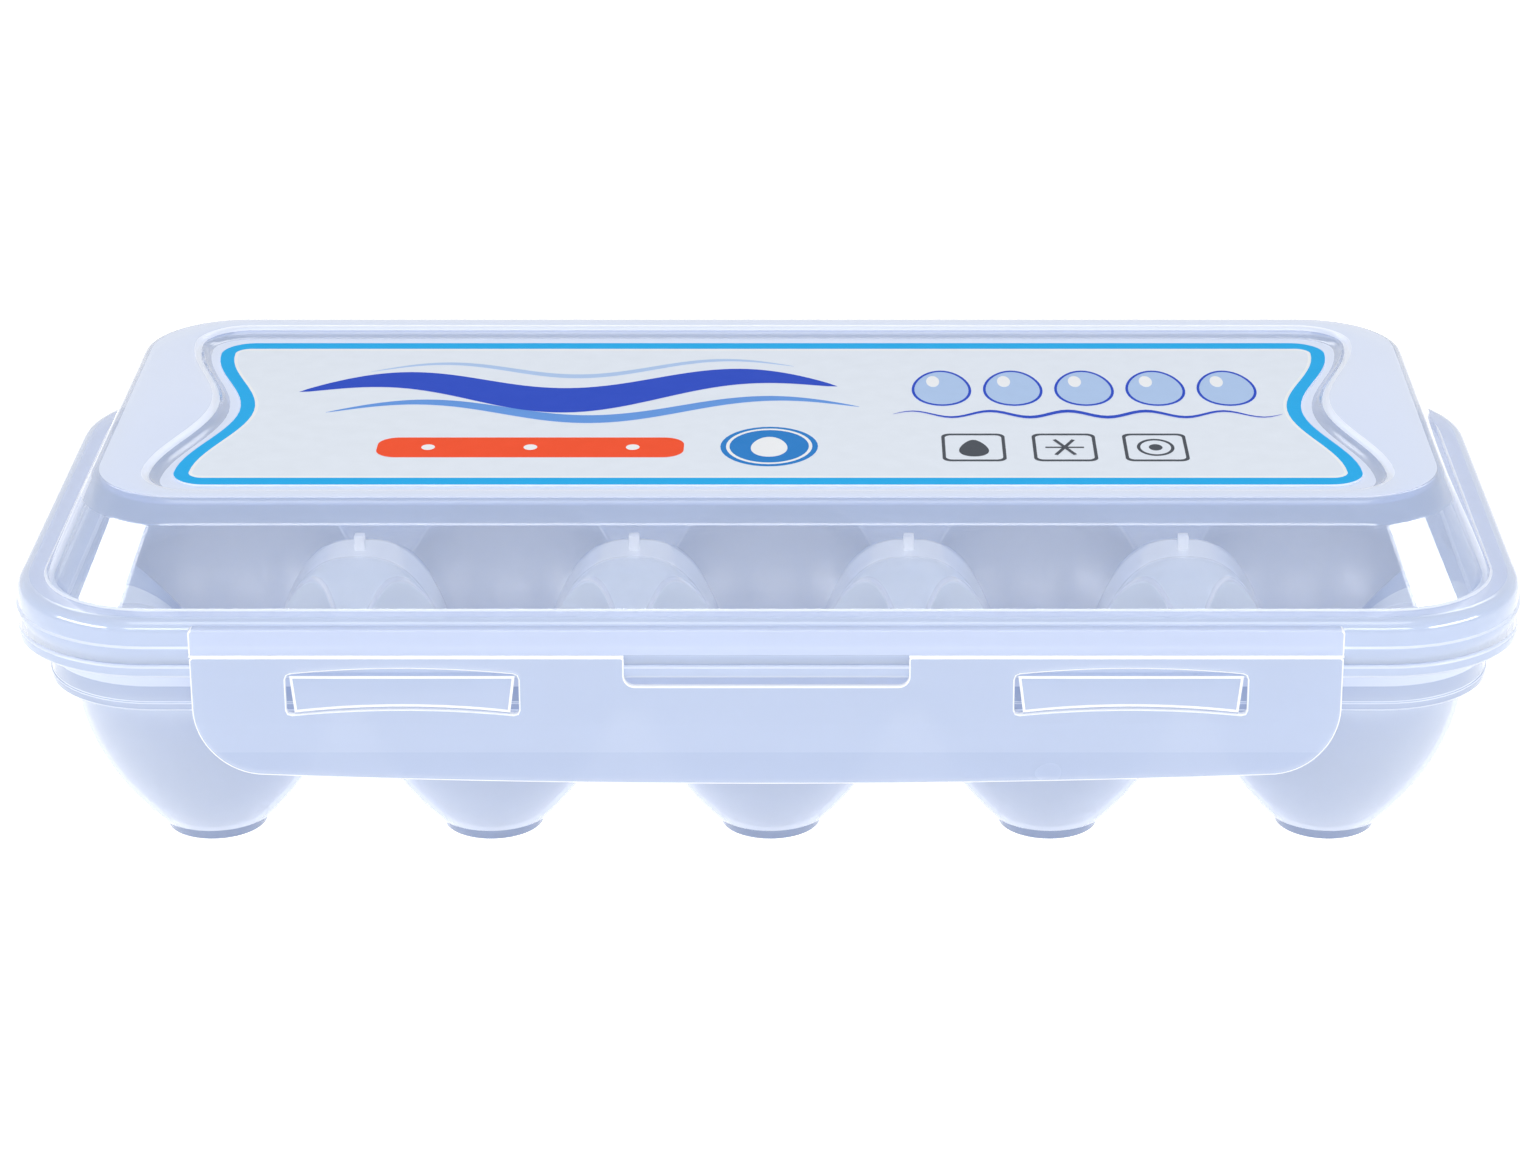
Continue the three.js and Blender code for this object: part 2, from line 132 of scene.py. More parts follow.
studio = {
    "worldLight": 0.42,
    "floorColour": (0.88, 0.885, 0.89),
    "floorRoughness": 0.9,
    "floorGloss": 0.1,
    "floorLift": 0.6,  # only for the eye and for reflections
    "floorRadius": 6.0,
    "floorHeight": -0.0001,
    "softboxes": [
        # name, place, aims at, width, height, watts
        ("softboxLeft", (-1.03, -0.56, 0.37), (-0.11, -0.05, 0.06), 0.88, 0.2, 4.6),
        ("softboxRight", (1.03, -0.56, 0.37), (0.11, -0.05, 0.06), 0.88, 0.2, 4.6),
        ("softboxFront", (0, -1.25, 0.62), (0, -0.02, 0.05), 1.3, 0.22, 5.0),
        ("softboxRear", (0, 1.05, 0.90), (0, 0, 0.05), 1.2, 0.3, 2.5),
        ("softboxTop", (0, -0.35, 1.5), (0, 0, 0.03), 1.1, 0.7, 4.5),
    ],
}


def lookAt(place, target):
    direction = Vector(target) - Vector(place)
    return direction.to_track_quat("-Z", "Y").to_euler()


for name, place, target, width, height, watts in studio["softboxes"]:
    light = bpy.data.lights.new(name, "AREA")
    light.shape = "RECTANGLE"
    light.size, light.size_y = width, height
    light.energy = watts
    lamp = bpy.data.objects.new(name, light)
    lamp.location = place
    lamp.rotation_euler = lookAt(place, target)
    lamp.visible_camera = False
    bpy.context.scene.collection.objects.link(lamp)

world = bpy.data.worlds.new("studio")
bpy.context.scene.world = world
world.use_nodes = True
backdrop = world.node_tree.nodes["Background"]
backdrop.inputs["Color"].default_value = (1, 1, 1, 1)
shown = spread(world.node_tree, seenRays(world.node_tree), studio["worldLight"], 1.0)
world.node_tree.links.new(shown, backdrop.inputs["Strength"])

floorMesh = bpy.data.meshes.new("floor")
bm = bmesh.new()
bmesh.ops.create_circle(bm, cap_ends=True, segments=64, radius=studio["floorRadius"])
bm.to_mesh(floorMesh)
bm.free()
floor = bpy.data.objects.new("floor", floorMesh)
bpy.context.scene.collection.objects.link(floor)
floor.location.z = studio["floorHeight"]
floorMaterial, floorTree, paper = newMaterial("floorPaper")
paper.inputs["Base Color"].default_value = (*studio["floorColour"], 1)
paper.inputs["Roughness"].default_value = studio["floorRoughness"]
paper.inputs["Specular IOR Level"].default_value = studio["floorGloss"]
paper.inputs["Emission Color"].default_value = (1, 1, 1, 1)
lift = combine(floorTree, "MULTIPLY", seenRays(floorTree), studio["floorLift"])
floorTree.links.new(lift, paper.inputs["Emission Strength"])
floorMesh.materials.append(floorMaterial)
print("camera and studio ready")


# finishes

moulding = {
    "ior": 1.5, "specular": 0.8,
    "cloudScale": 22.0, "cloudShade": 0.95, "cloudHaze": (0.85, 1.2),
    "edgeBlend": 0.4,
    "shadow": 0.08,  # share of its shadow that it throws: light gets through more easily than the eye does
    "rippleScale": 60.0, "rippleStrength": 0.006, "rippleDepth": 0.0005,
    "pale": (28.0, 34.0),  # millimetres up the tray between which a pale top of painted light comes in
}
inkMix = {"ior": 1.15, "roughness": (0.45, 0.575), "speckleScale": 260.0, "shade": 0.93, "lift": 0.01}


def clearPlastic(name, colour, alpha, roughness, gloss, top=None, sheen=0.06):
    # hazy polypropylene: thin where it faces the eye and denser at its edges, with a faint moulded ripple
    # alpha is (facing, edge-on), and top is the (colour, facing alpha) of painted light that it takes on up
    # the tray
    material, tree, shader = newMaterial(name)
    shader.inputs["IOR"].default_value = moulding["ior"]
    shader.inputs["Specular IOR Level"].default_value = moulding["specular"]
    shader.inputs["Coat Weight"].default_value = 1.0
    shader.inputs["Coat Roughness"].default_value = sheen
    shader.inputs["Coat IOR"].default_value = gloss
    place = tree.nodes.new("ShaderNodeTexCoord").outputs["Object"]

    clouds = noise(tree, place, moulding["cloudScale"], 2.0)
    tint = mixColours(tree, clouds, (*colour, 1), (*[c * moulding["cloudShade"] for c in colour], 1))
    smoother, rougher = moulding["cloudHaze"]
    haze = spread(tree, clouds, roughness * smoother, roughness * rougher)
    tree.links.new(haze, shader.inputs["Roughness"])

    facing, edgeOn = alpha
    # the pale top is painted light: the colour turns lighter higher up the tray
    if top:
        topColour, topFacing = top
        split = tree.nodes.new("ShaderNodeSeparateXYZ")
        tree.links.new(place, split.inputs[0])
        climb = tree.nodes.new("ShaderNodeMapRange")
        climb.interpolation_type = "SMOOTHSTEP"
        climb.inputs["From Min"].default_value = moulding["pale"][0] * mm
        climb.inputs["From Max"].default_value = moulding["pale"][1] * mm
        tree.links.new(split.outputs["Z"], climb.inputs["Value"])
        tint = mixColours(tree, climb.outputs[0], tint, (*topColour, 1))
        facing = spread(tree, climb.outputs[0], facing, topFacing)
    tree.links.new(tint, shader.inputs["Base Color"])

    weight = tree.nodes.new("ShaderNodeLayerWeight")
    weight.inputs["Blend"].default_value = moulding["edgeBlend"]
    density = spread(tree, weight.outputs["Facing"], facing, edgeOn)
    path = tree.nodes.new("ShaderNodeLightPath")
    passing = spread(tree, path.outputs["Is Shadow Ray"], 1.0, moulding["shadow"])
    tree.links.new(combine(tree, "MULTIPLY", density, passing), shader.inputs["Alpha"])

    bump = tree.nodes.new("ShaderNodeBump")
    bump.inputs["Strength"].default_value = moulding["rippleStrength"]
    bump.inputs["Distance"].default_value = moulding["rippleDepth"]
    tree.links.new(noise(tree, place, moulding["rippleScale"], 1.0), bump.inputs["Height"])
    tree.links.new(bump.outputs["Normal"], shader.inputs["Normal"])
    return material


def printedInk(name, colour):
    # satin ink with a faint unevenness of the print
    material, tree, shader = newMaterial(name)
    shader.inputs["IOR"].default_value = inkMix["ior"]
    place = tree.nodes.new("ShaderNodeTexCoord").outputs["Object"]
    speckle = noise(tree, place, inkMix["speckleScale"], 2.0)
    thinner = [min(c * inkMix["shade"] + inkMix["lift"], 1) for c in colour]
    tree.links.new(mixColours(tree, speckle, (*colour, 1), (*thinner, 1)), shader.inputs["Base Color"])
    tree.links.new(spread(tree, speckle, *inkMix["roughness"]), shader.inputs["Roughness"])
    return material


plastics = {
    # name, colour, alpha facing and edge-on, roughness, index of the coat;
    # some have a pale top and another roughness of the coat.
    # All are copies of one clear plastic whose colours are lighter or darker for where light falls: painted
    # light and shade
    # cup insides painted dark as painted shade, with a pale top of painted light on the dividers
    "cupInsideShadeAndLight": clearPlastic(
        "cupInsideShadeAndLight", (0.165, 0.235, 0.40), (0.70, 0.92), 0.35, 1.5, ((0.79, 0.84, 0.88), 0.92), 0.30,
    ),
    # the back row's insides are a darker copy with a less pale top: painted shade
    "cupBackShade": clearPlastic(
        "cupBackShade", (0.145, 0.215, 0.385), (0.70, 0.92), 0.35, 1.5, ((0.33, 0.42, 0.61), 0.85), 0.30,
    ),
    # the peaks' tops in near-white painted light, where light falls on them
    "peak": clearPlastic(
        "peakPaintedLight", (0.165, 0.235, 0.40), (0.70, 0.97), 0.30, 1.6, ((0.92, 0.95, 0.98), 0.94),
    ),
    # near-white front lips: a painted highlight beside the coat's real gloss
    "lip": clearPlastic("lipHighlight", (0.97, 0.98, 1.0), (0.90, 0.97), 0.20, 3.4, sheen=0.14),
    "cupOutside": clearPlastic("cupOutside", (0.67, 0.75, 0.93), (0.48, 0.92), 0.16, 1.6),
    # the foot's sides darker than the cup: painted shade
    "foot": clearPlastic("cupFootShade", (0.19, 0.26, 0.43), (0.82, 0.94), 0.20, 1.5),
    "skirt": clearPlastic("skirtPlastic", (0.42, 0.49, 0.66), (0.80, 0.92), 0.16, 1.4),
    "rim": clearPlastic("rimPlastic", (0.50, 0.59, 0.79), (0.82, 0.94), 0.14, 1.5),
    "ledge": clearPlastic("ledgePlastic", (0.50, 0.60, 0.86), (0.45, 0.90), 0.14, 2.0),
    "top": clearPlastic("lidTop", (0.65, 0.75, 0.98), (0.90, 0.94), 0.10, 1.5),
    # slopes and roundings round the recess and crown painted darker: painted shade
    "band": clearPlastic("lidShadeBand", (0.36, 0.44, 0.62), (0.50, 0.85), 0.14, 1.5),
    "wall": clearPlastic("lidWall", (0.38, 0.48, 0.70), (0.20, 0.70), 0.07, 3.0),
    "flap": clearPlastic("flapPlastic", (0.48, 0.565, 0.76), (0.80, 0.94), 0.25, 1.5),
    # the flap's lower facets darker, as they lean out and face down: painted shade
    "flapShade": clearPlastic("flapShadePlastic", (0.435, 0.52, 0.72), (0.80, 0.94), 0.25, 1.5),
    "strip": clearPlastic("stripPlastic", (0.58, 0.66, 0.86), (0.72, 0.90), 0.22, 1.5),
    # light lines on roundings, beads and above the foot: painted highlight
    "line": clearPlastic("softHighlight", (0.82, 0.88, 1.0), (0.62, 0.92), 0.30, 1.5, sheen=0.30),
    # near-white edges for light caught in the plastic: painted highlight
    "edge": clearPlastic("edgeHighlight", (0.97, 0.98, 1.0), (0.90, 0.97), 0.30, 1.5),
}
inks = {
    "field": printedInk("labelField", (0.80, 0.86, 0.95)),
    "border": printedInk("labelBorder", (0.0, 0.42, 0.87)),
    "white": printedInk("labelWhite", (0.90, 0.92, 0.95)),
    "blue": printedInk("labelBlue", (0.003, 0.055, 0.55)),
    "sky": printedInk("labelSky", (0.12, 0.32, 0.78)),
    "pale": printedInk("labelPale", (0.44, 0.60, 0.88)),
    "orange": printedInk("labelOrange", (0.93, 0.07, 0.006)),
    "disc": printedInk("labelDisc", (0.002, 0.20, 0.60)),
    "grey": printedInk("labelGrey", (0.05, 0.06, 0.08)),
}
print("finishes mixed")


# shaping tools


def finishPiece(name, bm, body, materials, replaces=(), smoothAngle=35, outward=True):
    if outward:
        bmesh.ops.recalc_face_normals(bm, faces=bm.faces[:])
    for face in bm.faces:
        face.smooth = True
    mesh = bpy.data.meshes.new(name)
    bm.to_mesh(mesh)
    bm.free()
    mesh.set_sharp_from_angle(angle=math.radians(smoothAngle))
    for material in materials:
        mesh.materials.append(material)
    piece = bpy.data.objects.new(name, mesh)
    bpy.context.scene.collection.objects.link(piece)
    if body:
        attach(piece, body)
    if replaces:
        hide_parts(*replaces)
    return piece


def startRing(bm, spots):
    ring = bmesh.ops.create_circle(bm, segments=len(spots), radius=1.0)["verts"]
    for vert, spot in zip(ring, spots):
        vert.co = spot
    return ring


def ringEdges(bm, ring):
    return [bm.edges.get((ring[i - 1], ring[i])) for i in range(len(ring))]


def growRing(bm, ring, spots, finish=0):
    # extrudes a ring's edges and moves the new ring to its spots
    made = bmesh.ops.extrude_edge_only(bm, edges=ringEdges(bm, ring))["geom"]
    for item in made:
        if isinstance(item, bmesh.types.BMFace):
            item.material_index = finish
    fresh = {item for item in made if isinstance(item, bmesh.types.BMVert)}
    grown = [next(e.other_vert(v) for e in v.link_edges if e.other_vert(v) in fresh) for v in ring]
    for vert, spot in zip(grown, spots):
        vert.co = spot
    return grown


def closeRing(bm, ring, finish=0):
    for face in bmesh.ops.contextual_create(bm, geom=ringEdges(bm, ring))["faces"]:
        face.material_index = finish


def roundEdges(bm, edges, width, segments=4, finish=None):
    rounded = bmesh.ops.bevel(
        bm, geom=edges, offset=width, segments=segments, affect="EDGES", profile=0.5, material=-1,
        offset_type="OFFSET", clamp_overlap=True,
    )
    if finish is not None:
        for face in rounded["faces"]:
            face.material_index = finish


def cornerSpots(halfX, halfY, corner, z, waist=0.0, turns=14, ends=26, sides=12):
    # spots round a rectangle with round corners, anticlockwise from above; the waist draws its ends in
    spots = []
    straightY = halfY - corner
    straightX = halfX - corner
    for quarter in range(4):
        sideX = 1 if quarter in (0, 3) else -1
        sideY = 1 if quarter < 2 else -1
        for step in range(turns + 1):
            angle = math.pi / 2 * (quarter + step / turns)
            x = sideX * straightX + corner * math.cos(angle)
            y = sideY * straightY + corner * math.sin(angle)
            spots.append((x, y, z))
        count = ends if quarter % 2 else sides
        for step in range(1, count):
            along = 1 - 2 * step / count
            if quarter % 2:
                drawn = waist * (1 + math.cos(math.pi * along)) / 2
                spots.append((sideX * (halfX - drawn), sideY * straightY * along, z))
            else:
                spots.append((sideX * straightX * along, sideY * halfY, z))
    return spots


def arcSpots(centreX, centreZ, radius, fromAngle, toAngle, steps=8):
    turns = [math.radians(fromAngle + (toAngle - fromAngle) * i / steps) for i in range(steps + 1)]
    return [(centreX + radius * math.cos(a), centreZ + radius * math.sin(a)) for a in turns]


# lid

outline = {"halfX": 131.0, "halfY": 59.8, "corner": 25.7}  # the lid's and the rim's, seen from above
lid = {
    "bottom": 45.6, "rim": 53.2, "top": 71.0, "shoulder": 67.2,
    "ledge": 5.45,  # how far the foot of its walls stands in from the outline
    "draft": (6.8, 4.45),  # how far their shoulder stands in from there, at the ends and at the sides
    "topIn": (8.8, 6.45), "topCorner": 17.0,
    "recess": (107.3, 43.0), "recessCorner": 9.0, "recessWaist": 7.4, "recessDepth": 1.7, "recessSlope": 1.4,
    "wall": 1.5, "bead": 0.35, "beadZ": 48.4,
    "wallRings": (0.06, 0.975),  # rings close to both edges keep the wall's reflections flat
}
lidFinishes = ["top", "band", "wall", "rim", "line", "ledge"]
lidTop, lidShadeBand, lidWall, lidRim, lidHighlightLine, lidLedge = range(len(lidFinishes))


def outlineRing(inset, z, insetY=None, corner=None):
    insetY = inset if insetY is None else insetY
    corner = outline["corner"] - inset if corner is None else corner
    return cornerSpots((outline["halfX"] - inset) * mm, (outline["halfY"] - insetY) * mm, corner * mm, z * mm)


def recessRing(grow, z):
    halfX, halfY = lid["recess"]
    corner = (lid["recessCorner"] + grow) * mm
    return cornerSpots((halfX + grow) * mm, (halfY + grow) * mm, corner, z * mm, lid["recessWaist"] * mm)


ledge, (draftX, draftY), (topX, topY) = lid["ledge"], lid["draft"], lid["topIn"]
crownSpots = outlineRing(ledge + topX, lid["top"], ledge + topY, lid["topCorner"])
shoulderSpots = outlineRing(ledge + draftX, lid["shoulder"], ledge + draftY, lid["topCorner"] + 1)
footSpots = outlineRing(ledge, lid["rim"])

bm = bmesh.new()
recessFloor = startRing(bm, recessRing(-lid["recessSlope"], lid["top"] - lid["recessDepth"]))
closeRing(bm, recessFloor, lidTop)
# the recess slope and the crown slope take painted shade
brink = growRing(bm, recessFloor, recessRing(0, lid["top"]), lidShadeBand)
crown = growRing(bm, brink, crownSpots, lidTop)
shoulder = growRing(bm, crown, shoulderSpots, lidShadeBand)
ring = shoulder
for share in lid["wallRings"]:
    spots = [Vector(high).lerp(Vector(low), share) for high, low in zip(shoulderSpots, footSpots)]
    ring = growRing(bm, ring, spots, lidWall)
foot = growRing(bm, ring, footSpots, lidWall)
rimEdge = growRing(bm, foot, outlineRing(lid["bead"], lid["rim"]), lidLedge)
beadTop = growRing(bm, rimEdge, outlineRing(lid["bead"], lid["beadZ"] + lid["bead"]), lidRim)
beadLow = growRing(bm, beadTop, outlineRing(0, lid["beadZ"]), lidHighlightLine)
growRing(bm, beadLow, outlineRing(0, lid["bottom"]), lidRim)
# the band roundings take painted shade and the line roundings a painted highlight
roundings = [
    # ring, width, finish
    (recessFloor, 0.9, lidShadeBand), (brink, 0.8, lidHighlightLine), (crown, 1.0, lidShadeBand),
    (shoulder, 0.3, lidShadeBand), (foot, 0.3, lidHighlightLine), (rimEdge, 2.2, lidRim),
]
roundings = [(ringEdges(bm, ring), width, finish) for ring, width, finish in roundings]
for edges, width, finish in roundings:
    roundEdges(bm, edges, width * mm, finish=finish)
lidShell = finishPiece(
    "lidShell", bm, "lid", [plastics[name] for name in lidFinishes], ["lid_shell"],
)
wall = lidShell.modifiers.new("wall", "SOLIDIFY")
wall.thickness = lid["wall"] * mm
wall.offset = -1
wall.use_even_offset = True
print("lid made")


# tray

tray = {
    "pitchX": 50.0, "pitchY": 48.3, "wall": 1.2, "lip": 0.8, "lipFall": 0.9,
    "cupRadius": 22.3, "cupDepth": 31.8, "widest": 28.0, "draft": 0.03,
    "bowl": (1.7, 1.3),  # powers of the bowl's curve, down it and across it
    "seat": (6.5, 2.2), "foot": (9.3, 1.9),  # radius and height
    "seatRound": (0.6, 0.15),  # where the seat's edge starts, outwards and upwards from the seat
    "footRound": 0.45, "footFlat": 0.3, "footRise": 0.5,
    "saddle": 26.0, "deck": 36.5, "deckReach": 18.8, "deckPower": 2.5, "blend": 2.0,
    "peak": 43.0, "peakReach": 16.6, "peakPower": 2.8,
    "crestFront": (14.2, 6, 36.5),  # how far the crest reaches, how square it is, and the ridge beyond it
    "crestBack": (8.0, 12, 28.0),
    "peakTop": (4.1, 4.6),  # half depth of the peaks' top in painted light and of the painted highlight lines beside it
    "crestHalfX": 95.0, "crestHalfY": 9.0,  # room round the middle line that holds all four peaks
    "panHalf": (124.35, 53.15), "panCorner": 19.05,
    "sideSteps": 26, "cornerSteps": 16, "endSteps": 14,
    "merge": 0.02,  # spots closer than this become one
    "cellGap": 0.1,  # how far a cup's outside stays inside its share of the deck
}
deckShares = (0.8, 0.6, 0.4, 0.2, 0.08)
underShares = (0.7, 0.35)
roundTurns = (0, 30, 60, 90)  # degrees round the lip's and the foot's roundings
lipStart, lipSteps = len(deckShares) + 1, 2  # the front lips take a painted highlight from here on, for so many steps
footSteps = len(roundTurns)
insideShares = (0.93, 0.84, 0.74, 0.64, 0.54, 0.45, 0.36, 0.28, 0.21, 0.15, 0.1, 0.06, 0.03, 0.012)
outsideShares = (1.0, 0.92, 0.84, 0.74, 0.64, 0.54, 0.45, 0.36, 0.28, 0.21, 0.15, 0.1, 0.055, 0.02)
trayFinishes = ["cupInsideShadeAndLight", "cupOutside", "line", "peak", "foot", "edge", "cupBackShade", "lip"]
frontInside, cupUnder, footHighlight, peakTop, footShade, seatHighlight, backInside, lipHighlight = range(len(trayFinishes))


def softMax(a, b, blend):
    gap = max(blend - abs(a - b), 0) / blend
    return max(a, b) + gap * gap * blend / 4


def deckHeight(x, y):
    # a saddle between front and back cups, a peak with a ridge each way where four cups meet,
    # and a rise beside the rim
    nearest = min(max(round(x / tray["pitchX"] + 1.5), 0), 3) - 1.5  # the peaks stand at half pitches
    awayX = abs(x - nearest * tray["pitchX"]) / tray["peakReach"]
    reach, power, ridge = tray["crestFront"] if y < 0 else tray["crestBack"]
    crest = ridge + (tray["peak"] - ridge) / (1 + (abs(y) / reach) ** power)
    peak = crest - (crest - tray["saddle"]) * awayX ** tray["peakPower"]
    fromRim = max(min(tray["panHalf"][0] - abs(x), tray["panHalf"][1] - abs(y)), 0)
    fall = (fromRim / tray["deckReach"]) ** tray["deckPower"]
    beside = tray["deck"] - (tray["deck"] - tray["saddle"]) * fall
    return softMax(softMax(tray["saddle"], peak, tray["blend"]), beside, tray["blend"])


def cupRadiusAt(z, wall):
    below = max(tray["widest"] - z, 0) / (tray["cupDepth"] + wall)
    above = max(z - tray["widest"], 0)
    bend, swell = tray["bowl"]
    return (tray["cupRadius"] + wall) * max(1 - below ** bend, 0) ** (1 / swell) + above * tray["draft"]


def evenSpots(start, end, count):
    # spots from the start towards the end, which begins the next stretch
    (startX, startY), (endX, endY) = start, end
    wayX, wayY = endX - startX, endY - startY
    return [(startX + wayX * i / count, startY + wayY * i / count) for i in range(count)]


def cellEdge(column, side):
    # spots round one cup's share of the deck, as places from the middle of the tray
    half = tray["pitchX"] / 2
    wallX, wallY = tray["panHalf"]
    steps = tray["sideSteps"]
    if abs(column) == 2:
        # an end cup's share runs on to the rim's round corner; it is drawn at the right-hand end
        corner, turns = tray["panCorner"], tray["cornerSteps"]
        lowX = 2 * tray["pitchX"] - half
        spots = evenSpots((lowX, 0), (wallX, 0), steps)
        spots += evenSpots((wallX, 0), (wallX, wallY - corner), turns)
        spots += arcSpots(wallX - corner, wallY - corner, corner, 0, 90, turns)[:-1]
        spots += evenSpots((wallX - corner, wallY), (lowX, wallY), tray["endSteps"])
        spots += evenSpots((lowX, wallY), (lowX, 0), steps)
        sideX = 1 if column > 0 else -1
        spots = [(sideX * x, y) for x, y in spots]
    else:
        corners = [(-half, 0), (half, 0), (half, wallY), (-half, wallY)]
        spots = []
        for start, end in zip(corners, corners[1:] + corners[:1]):
            spots += evenSpots(start, end, steps)
        spots = [(x + column * tray["pitchX"], y) for x, y in spots]
    return [(x, side * y) for x, y in spots]


def placeOn(line, distance):
    # a line is the cup's middle, a direction out of it, and how far that runs to the edge of its share
    centre, ray, reach = line
    return centre.x + ray.x * distance, centre.y + ray.y * distance


def spotOn(line, distance, z):
    x, y = placeOn(line, distance)
    return (x * mm, y * mm, z * mm)


def deckSpot(line, distance, drop=0.0):
    # a spot on the deck, or so far below it
    return spotOn(line, distance, deckHeight(*placeOn(line, distance)) - drop)


def upperLine(line, edgeZ):
    # spots from the edge of the share over the cup's lip and down to its seat
    centre, ray, reach = line
    lip = tray["lip"]
    seatRadius, seatZ = tray["seat"]
    seatOut, seatUp = tray["seatRound"]
    brimZ = deckHeight(*placeOn(line, tray["cupRadius"] + lip)) - lip
    brim = cupRadiusAt(brimZ, 0)
    spots = [spotOn(line, reach, edgeZ)]
    for share in deckShares:
        spots.append(deckSpot(line, brim + lip + (reach - brim - lip) * share))
    for turn in roundTurns:
        angle = math.radians(turn)
        fall = lip * (1 - math.cos(angle)) * tray["lipFall"]
        spots.append(deckSpot(line, brim + lip * (1 - math.sin(angle)), fall))
    for share in insideShares:
        z = seatZ + (brimZ - seatZ) * share
        spots.append(spotOn(line, max(cupRadiusAt(z, 0), seatRadius), z))
    spots.append(spotOn(line, seatRadius + seatOut, seatZ + seatUp))
    spots.append(spotOn(line, seatRadius, seatZ))
    return spots


def lowerLine(line, edgeZ):
    # spots from the edge of the share along under the deck and down the cup's outside to its foot
    centre, ray, reach = line
    wall = tray["wall"]
    footRadius, footZ = tray["foot"]
    underZ = deckHeight(*placeOn(line, tray["cupRadius"] + wall)) - wall
    outer = cupRadiusAt(underZ, wall)
    spots = [spotOn(line, reach, edgeZ - wall)]
    for share in underShares:
        spots.append(deckSpot(line, outer + (reach - outer) * share, wall))
    for share in outsideShares:
        z = footZ + (underZ - footZ) * share
        radius = max(cupRadiusAt(z, wall), footRadius)
        spots.append(spotOn(line, min(radius, reach - tray["cellGap"]), z))
    riseZ = footZ + tray["footRise"]
    spots.append(spotOn(line, max(cupRadiusAt(riseZ, wall), footRadius), riseZ))
    spots.append(spotOn(line, footRadius, footZ))
    for turn in roundTurns:
        angle = math.radians(turn)
        radius = footRadius - tray["footFlat"] - tray["footRound"] * (1 - math.cos(angle))
        spots.append(spotOn(line, radius, tray["footRound"] * (1 - math.sin(angle))))
    return spots


def cupLines(column, side):
    # an upper and a lower line for each spot round the cup's share of the deck
    centre = Vector((column * tray["pitchX"], side * tray["pitchY"] / 2))
    upper, lower = [], []
    for edgeX, edgeY in cellEdge(column, side):
        away = Vector((edgeX, edgeY)) - centre
        line = (centre, away.normalized(), away.length)
        edgeZ = deckHeight(edgeX, edgeY)
        upper.append(upperLine(line, edgeZ))
        lower.append(lowerLine(line, edgeZ))
    return upper, lower


def growSheet(bm, lines, finishes, cap):
    # joins lines of spots to a sheet, one ring for each step along them, and closes its last ring
    ring = startRing(bm, [line[0] for line in lines])
    for step, finish in enumerate(finishes, 1):
        ring = growRing(bm, ring, [line[step] for line in lines], finish)
    closeRing(bm, ring, cap)


bm = bmesh.new()
for column in (-2, -1, 0, 1, 2):
    for side in (-1, 1):
        upper, lower = cupLines(column, side)
        # the back row takes the darker copy of painted shade
        inside = frontInside if side < 0 else backInside
        # a painted highlight line round each cup's seat
        finishes = [inside] * (len(upper[0]) - 2) + [seatHighlight]
        if side < 0:
            finishes[lipStart:lipStart + lipSteps] = [lipHighlight] * lipSteps
        growSheet(bm, upper, finishes, inside)
        # a painted highlight line above the foot, and painted shade on the foot's sides
        finishes = [cupUnder] * (len(lower[0]) - footSteps - 2) + [footHighlight] + [footShade] * footSteps
        growSheet(bm, lower, finishes, cupUnder)
bmesh.ops.remove_doubles(bm, verts=bm.verts[:], dist=tray["merge"] * mm)
bmesh.ops.bridge_loops(bm, edges=[edge for edge in bm.edges if len(edge.link_faces) == 1])

# clean borders for the peaks' painted light and painted highlight lines
paintedLightHalf, highlightHalf = tray["peakTop"]
paintedLightFrom = moulding["pale"][0]
cuts = [((0, y * mm, 0), (0, 1, 0)) for y in (paintedLightHalf, highlightHalf, -paintedLightHalf, -highlightHalf)]
cuts.append(((0, 0, paintedLightFrom * mm), (0, 0, 1)))
for place, normal in cuts:
    peaks = []
    for face in bm.faces:
        middle = face.calc_center_median()
        if middle.z > paintedLightFrom * mm and abs(middle.y) < tray["crestHalfY"] * mm:
            peaks.append(face)
    verts = dict.fromkeys(vert for face in peaks for vert in face.verts)
    edges = dict.fromkeys(edge for face in peaks for edge in face.edges)
    bmesh.ops.bisect_plane(bm, geom=[*verts, *edges, *peaks], dist=1e-7, plane_co=place, plane_no=normal)
bmesh.ops.recalc_face_normals(bm, faces=bm.faces[:])
# upward faces high on the peaks take painted light, and the strips beside them a painted highlight
for face in bm.faces:
    middle = face.calc_center_median()
    facesUp = face.material_index in (frontInside, backInside) and face.normal.z > 0.1
    if facesUp and middle.z > paintedLightFrom * mm and abs(middle.x) < tray["crestHalfX"] * mm:
        if abs(middle.y) < paintedLightHalf * mm:
            face.material_index = peakTop
        elif abs(middle.y) < highlightHalf * mm:
            face.material_index = lipHighlight
finishPiece(
    "trayCups", bm, "base", [plastics[name] for name in trayFinishes],
    [f"egg_cup_{row}_{i}" for row in ("front", "back") for i in range(1, 6)], outward=False,
)
print("tray cups made")

